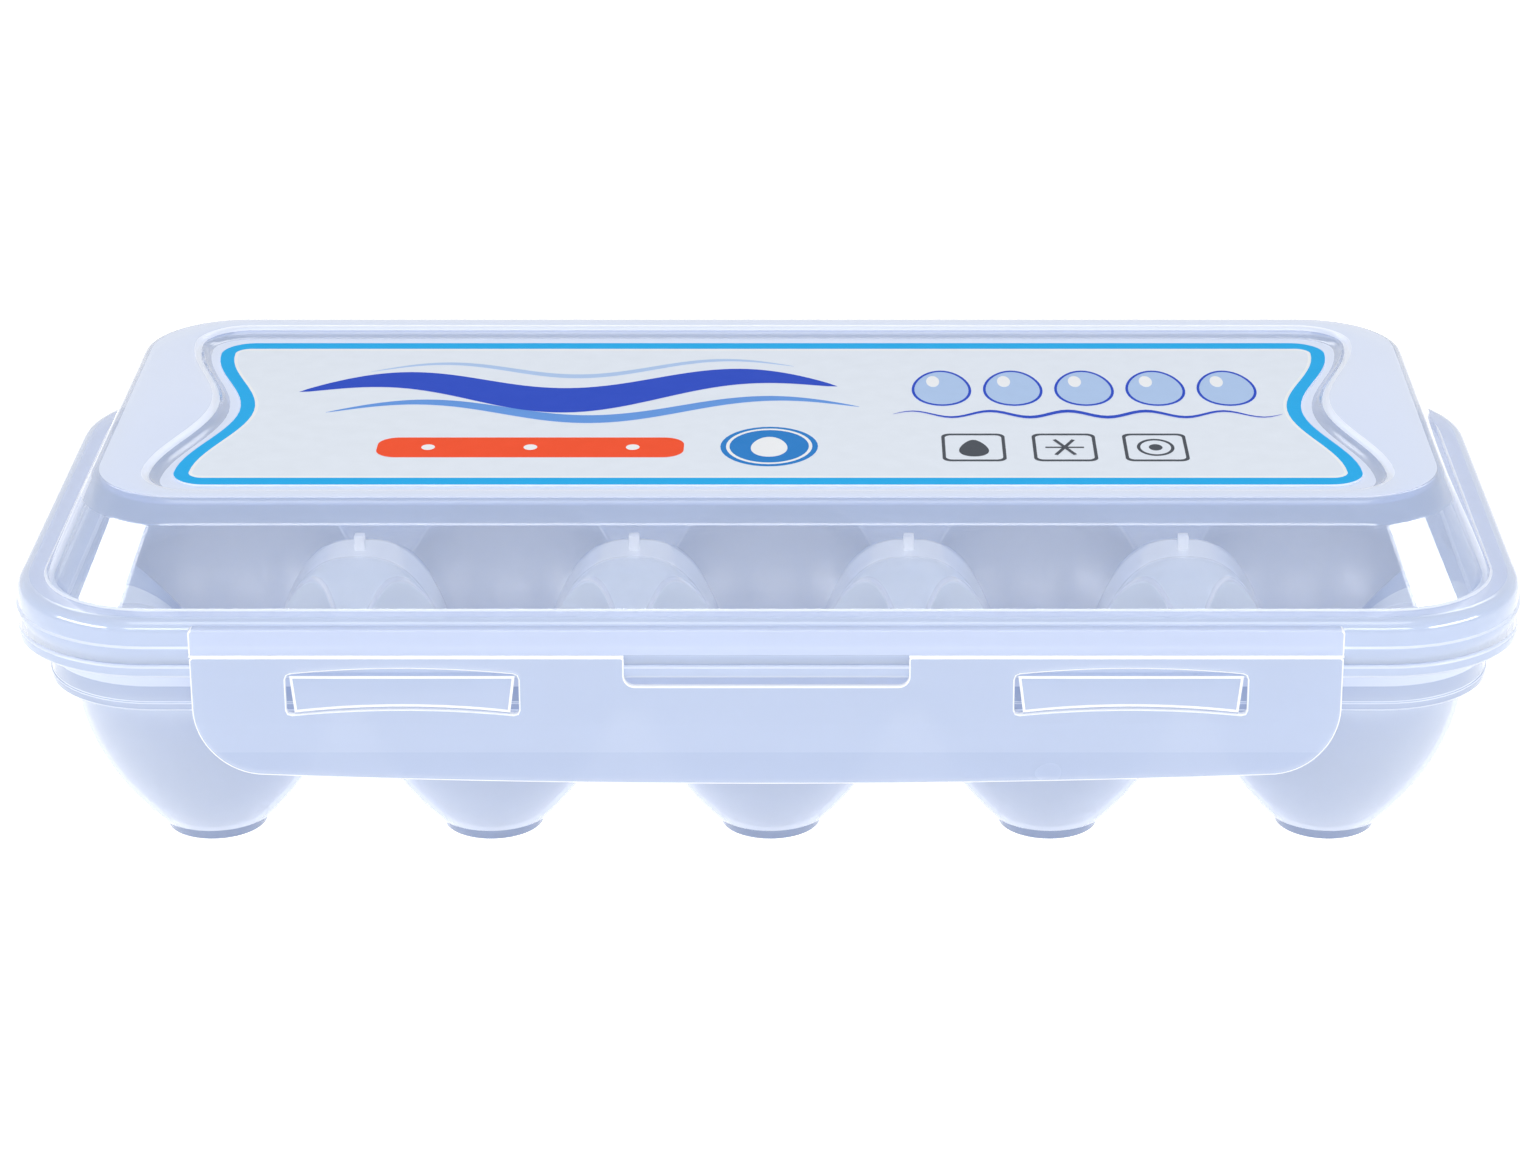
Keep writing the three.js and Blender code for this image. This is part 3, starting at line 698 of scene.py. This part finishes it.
rim = {
    "flange": (43.0, 45.3),  # its lower and its upper face
    "wallIn": (5.45, 6.95),  # outer and inner face of the drop wall, in from the outline
    "wallBottom": 34.7, "bead": 0.3, "beadZ": 36.1,
    "paintedLightZ": 39.2,  # the drop wall is painted pale above it: painted light over the shade under the flange
    "lip": (3.4, 4.8), "lipTop": 50.3,
}
rimPlastic, rimHighlight, rimSkirt = range(3)
wallOuter, wallInner = rim["wallIn"]
lipOuter, lipInner = rim["lip"]
flangeLow, flangeHigh = rim["flange"]
section = [
    # inset, height, rounding, finish of the stretch that ends there
    (wallInner, rim["wallBottom"], 0.3, rimPlastic),
    (wallInner, flangeLow + 1.0, 0.5, rimPlastic),
    (lipInner, flangeHigh + 1.2, 0.4, rimPlastic),
    (lipInner, rim["lipTop"], 0.5, rimPlastic),
    (lipOuter, rim["lipTop"], 0.5, rimPlastic),
    (lipOuter, flangeHigh, 0.3, rimPlastic),
    (0, flangeHigh, 0.5, rimPlastic),
    (0, flangeLow, 0.5, rimPlastic),
    (wallOuter, flangeLow, 0.4, rimPlastic),
    (wallOuter, rim["paintedLightZ"], 0.05, rimHighlight),
    (wallOuter, rim["beadZ"] + 0.2, 0.1, rimSkirt),
    (wallOuter - rim["bead"], rim["beadZ"], 0.1, rimSkirt),
    (wallOuter - rim["bead"], rim["wallBottom"], 0.35, rimSkirt),
]
bm = bmesh.new()
inset, z, rounding, finish = section[0]
rings = [startRing(bm, outlineRing(inset, z))]
for inset, z, rounding, finish in section[1:]:
    rings.append(growRing(bm, rings[-1], outlineRing(inset, z), finish))
bmesh.ops.bridge_loops(bm, edges=ringEdges(bm, rings[-1]) + ringEdges(bm, rings[0]))
roundings = [(ringEdges(bm, ring), rounding) for ring, (inset, z, rounding, finish) in zip(rings, section)]
# every rounding of the rim takes the painted highlight line
for edges, rounding in roundings:
    roundEdges(bm, edges, rounding * mm, 3, rimHighlight)
rimPlastics = [plastics["rim"], plastics["line"], plastics["skirt"]]
finishPiece("trayRim", bm, "base", rimPlastics, ["base_rim"])
print("tray rim made")


def boxPiece(name, low, high, body, materials, replaces, rounding):
    # a moulded bar with rounded edges, from one corner to the other, in millimetres
    bm = bmesh.new()
    middle = [(a + b) / 2 * mm for a, b in zip(low, high)]
    size = [(b - a) * mm for a, b in zip(low, high)]
    bmesh.ops.create_cube(bm, size=1.0)
    bmesh.ops.scale(bm, vec=size, verts=bm.verts[:])
    bmesh.ops.translate(bm, vec=middle, verts=bm.verts[:])
    roundEdges(bm, bm.edges[:], rounding * mm, 3)
    return finishPiece(name, bm, body, materials, replaces)


pip = {"width": 2.0, "height": 2.7, "sink": 0.9, "rounding": 0.3}
# the pips are wholly in the near-white painted highlight finish
for index in range(4):
    x = (index - 1.5) * tray["pitchX"]
    half = pip["width"] / 2
    low = (x - half, -half, tray["peak"] - pip["sink"])
    high = (x + half, half, tray["peak"] + pip["height"])
    boxPiece(
        f"dividerPip{index + 1}", low, high, "base", [plastics["edge"]],
        [f"divider_pip_{index + 1}"], pip["rounding"],
    )
print("pips made")


# latch

latch = {
    "halfX": 97.5, "top": 47.5, "back": -60.2, "thick": 1.2, "corner": 12.0, "topCorner": 0.5,
    "bottomEnds": 26.0, "sag": 1.6, "sagSteps": 40,
    "bends": [(35.4, 0.0), (30.1, -0.24), (24.4, -0.8)],  # heights, and how far it leans out there
    "notch": (24.1, 42.2, 1.8),  # half width, bottom, corner
    "windowX": (61.7, 19.7),  # middle and half width
    "windowZ": (36.9, 44.3), "arch": 1.1, "windowCorner": 0.9, "windowSteps": 20,
    "frame": 0.26, "rounding": 0.25,
    "cornerSteps": 16, "notchSteps": 6, "topSteps": 3,
}
panelFace, panelHighlight, panelShade = range(3)  # finishes of the flap: face, painted highlight line, and painted shade on its lower facets; strip and lugs have the first two


def flapOutline():
    halfX, top, corner, topCorner = latch["halfX"], latch["top"], latch["corner"], latch["topCorner"]
    notchX, notchZ, notchCorner = latch["notch"]
    low = latch["bottomEnds"]
    spots = [(halfX - topCorner, top), (halfX, top - topCorner)]
    spots += arcSpots(halfX - corner, low + corner, corner, 0, -90, latch["cornerSteps"])
    reach = halfX - corner
    for i in range(1, latch["sagSteps"]):
        x = reach * (1 - 2 * i / latch["sagSteps"])
        spots.append((x, low - latch["sag"] * (1 - (x / reach) ** 2)))
    spots += arcSpots(-halfX + corner, low + corner, corner, -90, -180, latch["cornerSteps"])
    spots += [(-halfX, top - topCorner), (-halfX + topCorner, top)]
    topZ, notchTurnZ, steps = top - topCorner, notchZ + notchCorner, latch["notchSteps"]
    spots += arcSpots(-notchX - topCorner, topZ, topCorner, 90, 0, latch["topSteps"])
    spots += arcSpots(-notchX + notchCorner, notchTurnZ, notchCorner, 180, 270, steps)
    spots += arcSpots(notchX - notchCorner, notchTurnZ, notchCorner, 270, 360, steps)
    spots += arcSpots(notchX + topCorner, topZ, topCorner, 180, 90, latch["topSteps"])
    return spots


def archAt(x, side):
    middle, half = latch["windowX"]
    return latch["arch"] * (1 - ((x - side * middle) / half) ** 2)


def windowOutline(side):
    middle, half = latch["windowX"]
    low, high = latch["windowZ"]
    left, right, corner = side * middle - half, side * middle + half, latch["windowCorner"]
    cut, drop = corner * 0.3, corner * 0.2  # each corner is two short flats
    steps = latch["windowSteps"]
    alongX = [left + corner + (right - left - 2 * corner) * i / steps for i in range(steps + 1)]
    spots = [(x, high + archAt(x, side)) for x in alongX]
    spots += [(right - cut, high - drop), (right, high - corner)]
    spots += [(right, low + corner), (right - cut, low + cut)]
    spots += [(x, low + archAt(x, side)) for x in reversed(alongX)]
    spots += [(left + cut, low + cut), (left, low + corner)]
    spots += [(left, high - corner), (left + cut, high - drop)]
    return spots


def flapLean(z):
    # how far the flap leans out at a height
    bends = latch["bends"]
    if z >= bends[0][0]:
        return 0.0
    for (highZ, highY), (lowZ, lowY) in zip(bends, bends[1:]):
        if z >= lowZ:
            return highY + (lowY - highY) * (highZ - z) / (highZ - lowZ)
    return bends[-1][1]


def frontPanel(bm, panelOutline, holes, frontY, thick, frameWidth, rounding):
    # a flat moulding cut to an outline, with a painted highlight line round its edges
    for spots in [panelOutline] + holes:
        startRing(bm, [(x * mm, frontY * mm, z * mm) for x, z in spots])
    bmesh.ops.triangle_fill(bm, use_beauty=True, edges=bm.edges[:])
    framed = bmesh.ops.inset_region(
        bm, faces=bm.faces[:], thickness=frameWidth * mm, use_boundary=True, use_even_offset=True,
    )["faces"]
    for face in framed:
        face.material_index = panelHighlight
    made = bmesh.ops.extrude_face_region(bm, geom=bm.faces[:])["geom"]
    back = [v for v in made if isinstance(v, bmesh.types.BMVert)]
    bmesh.ops.translate(bm, vec=(0, thick * mm, 0), verts=back)
    bmesh.ops.recalc_face_normals(bm, faces=bm.faces[:])
    for face in bm.faces:
        if abs(face.normal.y) < 0.5:
            face.material_index = panelHighlight
    square = [e for e in bm.edges if e.calc_face_angle(0) > 1.0]  # radians
    roundEdges(bm, square, rounding * mm, 3)


bm = bmesh.new()
frontPanel(
    bm, flapOutline(), [windowOutline(-1), windowOutline(1)], latch["back"] - latch["thick"], latch["thick"],
    latch["frame"], latch["rounding"],
)
for bendZ, _ in latch["bends"][:2]:
    everything = bm.verts[:] + bm.edges[:] + bm.faces[:]
    bmesh.ops.bisect_plane(bm, geom=everything, dist=1e-7, plane_co=(0, 0, bendZ * mm), plane_no=(0, 0, 1))
# the lower facets take the darker copy: painted shade
for face in bm.faces:
    if face.material_index == panelFace and face.calc_center_median().z < latch["bends"][1][0] * mm:
        face.material_index = panelShade
for vert in bm.verts:
    vert.co.y += flapLean(vert.co.z / mm) * mm
flapPlastics = [plastics["flap"], plastics["edge"], plastics["flapShade"]]
finishPiece("latchFlap", bm, "flap", flapPlastics, ["latch_flap"], smoothAngle=2)
print("flap made")

strip = {
    "halfX": 97.5, "low": 47.9, "high": 52.6, "front": -61.6, "thick": 2.2, "corner": 0.8,
    "frame": 0.3, "rounding": 0.3,
}
bm = bmesh.new()
cornerX, cornerZ = strip["halfX"] - strip["corner"], strip["high"] - strip["corner"]
stripOutline = [(strip["halfX"], strip["low"])]
stripOutline += arcSpots(cornerX, cornerZ, strip["corner"], 0, 90)
stripOutline += arcSpots(-cornerX, cornerZ, strip["corner"], 90, 180)
stripOutline.append((-strip["halfX"], strip["low"]))
frontPanel(bm, stripOutline, [], strip["front"], strip["thick"], strip["frame"], strip["rounding"])
for face in bm.faces:
    if abs(face.calc_center_median().x) < (strip["halfX"] - 2 * strip["frame"]) * mm:
        face.material_index = panelFace  # only its two ends keep the painted highlight line
finishPiece(
    "latchHingeStrip", bm, "lid", [plastics["strip"], plastics["edge"]],
    ["latch_hinge_strip"], smoothAngle=30,
)

lug = {
    "halfTop": 19.1, "halfLow": 18.2, "top": 44.0, "gap": 0.4,  # the gap is to the window's lower edge
    "back": -54.4, "front": -61.9, "topFront": -60.7, "frame": 0.45, "steps": 16,
}
lugLow = latch["windowZ"][0] + lug["gap"]
for side, hand in ((-1, "left"), (1, "right")):
    middle = side * latch["windowX"][0]
    bm = bmesh.new()
    ring = None
    for step in range(lug["steps"] + 1):
        share = 2 * step / lug["steps"] - 1
        low = lugLow + latch["arch"] * (1 - share ** 2)
        wedge = [
            # its section, as y and z
            (lug["back"], low),
            (lug["front"] + 0.3, low),
            (lug["front"], low + 0.35),
            (lug["front"], low + 0.9),
            (lug["topFront"], lug["top"] - 0.15),
            (lug["topFront"] + 0.3, lug["top"]),
            (lug["back"], lug["top"]),
        ]
        spots = []
        for y, z in wedge:
            half = lug["halfLow"] + (lug["halfTop"] - lug["halfLow"]) * (z - lugLow) / (lug["top"] - lugLow)
            spots.append(((middle + half * share) * mm, y * mm, z * mm))
        if ring is None:
            ring = startRing(bm, spots)
            closeRing(bm, ring)
        else:
            ring = growRing(bm, ring, spots)
    closeRing(bm, ring)
    bmesh.ops.recalc_face_normals(bm, faces=bm.faces[:])
    front = [f for f in bm.faces if f.normal.y < -0.8]
    framed = bmesh.ops.inset_region(bm, faces=front, thickness=lug["frame"] * mm, use_even_offset=True)
    # the lug's front frame takes the painted highlight
    for face in framed["faces"]:
        face.material_index = panelHighlight
    finishPiece(
        f"latchLug{hand.title()}", bm, "base", [plastics["flap"], plastics["edge"]],
        [f"latch_lug_{hand}"],
    )
print("strip and lugs made")


# hinges

hinge = {
    "frontY": -61.35, "frontZ": 47.7, "frontHalf": (0.28, 0.24),  # half its depth and height
    "rearY": 62.1, "rearZ": 45.45, "rearHalf": (0.25, 0.6), "rearHalfX": 97.0,
    "steps": 12,
}
rearBar = {"halfX": 97.5, "y": (59.6, 62.2), "tray": (43.3, 45.3), "lid": (45.6, 47.6), "rounding": 0.5}


def hingeBead(fromX, toX, centreY, centreZ, halfY, halfZ):
    # a thin bead of plastic along a hinge, oval in section
    bm = bmesh.new()
    ring = None
    for x in (fromX, (fromX + toX) / 2, toX):
        turns = [2 * math.pi * i / hinge["steps"] for i in range(hinge["steps"])]
        section = [(centreY + halfY * math.cos(a), centreZ + halfZ * math.sin(a)) for a in turns]
        spots = [(x * mm, y * mm, z * mm) for y, z in section]
        if ring is None:
            ring = startRing(bm, spots)
            closeRing(bm, ring)
        else:
            ring = growRing(bm, ring, spots)
    closeRing(bm, ring)
    return bm


# the front hinge films are wholly in the painted highlight finish
for side, hand in ((-1, "left"), (1, "right")):
    ends = sorted((side * latch["notch"][0], side * latch["halfX"]))
    bm = hingeBead(*ends, hinge["frontY"], hinge["frontZ"], *hinge["frontHalf"])
    film = finishPiece(
        f"frontHingeFilm{hand.title()}", bm, None, [plastics["edge"]],
        [f"front_hinge_film_{hand}"],
    )
    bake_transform(film)

for name, body, part, slot, node in (
    ("rearHingeBar", "base", "tray", "tray_plastic", "rear_hinge_film"),
    ("rearHingeStrip", "lid", "lid", "lid_plastic", "rear_hinge_strip"),
):
    low = (-rearBar["halfX"], rearBar["y"][0], rearBar[part][0])
    high = (rearBar["halfX"], rearBar["y"][1], rearBar[part][1])
    boxPiece(name, low, high, body, [plastics["flap"]], [node], rearBar["rounding"])
# the rear hinge film is wholly in the painted highlight finish
bm = hingeBead(-hinge["rearHalfX"], hinge["rearHalfX"], hinge["rearY"], hinge["rearZ"], *hinge["rearHalf"])
rearFilm = finishPiece("rearHingeFilm", bm, None, [plastics["edge"]])
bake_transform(rearFilm)
print("hinges made")


# label

label = {
    "half": (103.0, 37.3), "corner": 6.0, "leastCorner": 1.8, "waist": 7.4, "low": 69.3, "high": 69.6,
    "border": (2.6, 3.3), "whiteLine": (0.6, 1.0), "layer": 0.03,
}
artwork = {
    # in millimetres from the middle of the label
    "ribbons": [
        # from, to, middle, rise, waves, thickness and slant, then ink and layer
        ((-86, 12, 10, 6.0, 1.5, 13.0, 3.0), "blue", 1),
        ((-80, 16, -1, 5.0, 1.5, 4.0, 3.0), "sky", 1),
        ((-74, 4, 21, 4.0, 1.5, 2.0, 3.0), "pale", 1),
    ],
    "pill": (-42, -19, 27, 5.0, 3.6),  # x, y, half its size, corner
    "pillDots": ((-60, -42, -24), -19, 1.2, 1.4),  # places along it, y, half their size
    "disc": (0, -18.5, 8.6, 10.0),  # x, y, half its size
    "discLine": (7.6, 9.0, 7.0, 8.2),  # half size outside and inside
    "discEgg": (0, -18.8, 3.2, 5.0, 0.12),
    "eggs": {"x": (31, 44, 57, 70, 83), "y": 12, "outer": (5.4, 9.6), "inner": (4.9, 8.8), "point": 0.12},
    "glint": (-1.5, 3.5, 1.2, 3.0),  # place from the egg's middle, half its size
    "nestLine": (22, 92, -2, 1.6, 5, 1.4, 0),
    "boxes": {"x": (36, 52, 68), "y": -19, "outer": (5.6, 7.0, 1.6), "inner": (5.0, 6.1, 1.2)},
    "boxEgg": (-0.4, 2.5, 4.2, 0.35),  # height from the box's middle, half its size, point
    "star": {"reach": (3.4, 4.4), "half": 0.35, "strokes": 3},
    "target": {"outer": (3.3, 4.3), "inner": (2.7, 3.5), "dot": (1.2, 1.6)},
}
labelField, labelBorder, labelWhite = range(3)
inkOrder = ["white", "blue", "sky", "pale", "orange", "disc", "grey"]


def labelRing(insetX, insetY):
    halfX, halfY = label["half"]
    corner = max(label["corner"] - insetY, label["leastCorner"]) * mm
    return cornerSpots(
        (halfX - insetX) * mm, (halfY - insetY) * mm, corner, label["high"] * mm, label["waist"] * mm,
    )


bm = bmesh.new()
under = startRing(bm, [(x, y, label["low"] * mm) for x, y, z in labelRing(0, 0)])
closeRing(bm, under)
(borderX, borderY), (whiteX, whiteY) = label["border"], label["whiteLine"]
ring = growRing(bm, under, labelRing(0, 0), labelField)
ring = growRing(bm, ring, labelRing(borderX, borderY), labelBorder)
ring = growRing(bm, ring, labelRing(borderX + whiteX, borderY + whiteY), labelWhite)
closeRing(bm, ring, labelField)
filmInks = [inks["field"], inks["border"], inks["white"]]
labelFilm = finishPiece("labelFilm", bm, "lid", filmInks, ["label_film"], smoothAngle=30)
labelFilm.visible_shadow = False  # the thin film lets light through to the cups

bm = bmesh.new()


def printShape(spots, ink, layer=1, hole=None):
    # a flat printed patch; with a hole it is only the line between the two outlines
    height = (label["high"] + label["layer"] * layer) * mm
    before = set(bm.faces)
    ring = startRing(bm, [(x * mm, y * mm, height) for x, y in spots])
    if hole:
        growRing(bm, ring, [(x * mm, y * mm, height) for x, y in hole])
    else:
        closeRing(bm, ring)
    for face in set(bm.faces) - before:
        face.material_index = inkOrder.index(ink)


def ovalSpots(x, y, halfX, halfY, point=0.0, count=40):
    # an oval; the point makes its upper end narrower, as an egg's
    spots = []
    for i in range(count):
        a = 2 * math.pi * i / count
        spots.append((x + halfX * math.cos(a) * (1 - point * math.sin(a)), y + halfY * math.sin(a)))
    return spots


def pillSpots(x, y, halfX, halfY, corner):
    spots = []
    for turn, (sideX, sideY) in enumerate(((1, 1), (-1, 1), (-1, -1), (1, -1))):
        centreX, centreY = x + sideX * (halfX - corner), y + sideY * (halfY - corner)
        spots += arcSpots(centreX, centreY, corner, 90 * turn, 90 * turn + 90)
    return spots


def ribbonSpots(fromX, toX, middle, rise, waves, thick, slant, count=60):
    # a flowing ribbon that swells in its middle
    above, below = [], []
    for i in range(count + 1):
        share = i / count
        x = fromX + (toX - fromX) * share
        y = middle + rise * math.sin(2 * math.pi * waves * share) + slant * share
        half = thick * math.sin(math.pi * share) ** 0.7 / 2 + 0.05
        above.append((x, y + half))
        below.append((x, y - half))
    return above + below[::-1]


def strokeSpots(x, y, turn):
    # one of the crossing strokes of a star
    angle = math.pi / artwork["star"]["strokes"] * turn
    reachX, reachY = artwork["star"]["reach"]
    half = artwork["star"]["half"]
    alongX, alongY = reachX * math.cos(angle), reachY * math.sin(angle)
    acrossX, acrossY = -half * math.sin(angle), half * math.cos(angle)
    ends = ((1, 1), (-1, 1), (-1, -1), (1, -1))
    return [(x + alongX * s + acrossX * t, y + alongY * s + acrossY * t) for s, t in ends]


for ribbon, ink, layer in artwork["ribbons"]:
    printShape(ribbonSpots(*ribbon), ink, layer)

printShape(pillSpots(*artwork["pill"]), "orange")
dotsX, dotY, dotHalfX, dotHalfY = artwork["pillDots"]
for x in dotsX:
    printShape(ovalSpots(x, dotY, dotHalfX, dotHalfY), "white", 2)

discX, discY = artwork["disc"][:2]
outerX, outerY, innerX, innerY = artwork["discLine"]
printShape(ovalSpots(*artwork["disc"]), "disc")
printShape(ovalSpots(discX, discY, outerX, outerY), "white", 2, ovalSpots(discX, discY, innerX, innerY))
printShape(ovalSpots(*artwork["discEgg"]), "white", 2)

eggs = artwork["eggs"]
glintX, glintY, glintHalfX, glintHalfY = artwork["glint"]
for x in eggs["x"]:
    outer = ovalSpots(x, eggs["y"], *eggs["outer"], eggs["point"])
    printShape(outer, "pale")
    printShape(outer, "blue", 2, ovalSpots(x, eggs["y"], *eggs["inner"], eggs["point"]))
    printShape(ovalSpots(x + glintX, eggs["y"] + glintY, glintHalfX, glintHalfY), "white", 2)
printShape(ribbonSpots(*artwork["nestLine"]), "blue", 3)

boxes, star, target = artwork["boxes"], artwork["star"], artwork["target"]
for x, sign in zip(boxes["x"], ("egg", "star", "target")):
    y = boxes["y"]
    printShape(pillSpots(x, y, *boxes["outer"]), "grey", 1, pillSpots(x, y, *boxes["inner"]))
    if sign == "egg":
        rise, halfX, halfY, point = artwork["boxEgg"]
        printShape(ovalSpots(x, y + rise, halfX, halfY, point), "grey")
    elif sign == "star":
        for turn in range(star["strokes"]):
            printShape(strokeSpots(x, y, turn), "grey", 1 + turn)
    else:
        printShape(ovalSpots(x, y, *target["outer"]), "grey", 1, ovalSpots(x, y, *target["inner"]))
        printShape(ovalSpots(x, y, *target["dot"]), "grey")
printInks = [inks[name] for name in inkOrder]
labelPrint = finishPiece("labelPrint", bm, "lid", printInks, smoothAngle=30, outward=False)
labelPrint.visible_shadow = False
for polygon in labelPrint.data.polygons:
    if polygon.normal.z < 0:
        polygon.flip()
print("label printed")
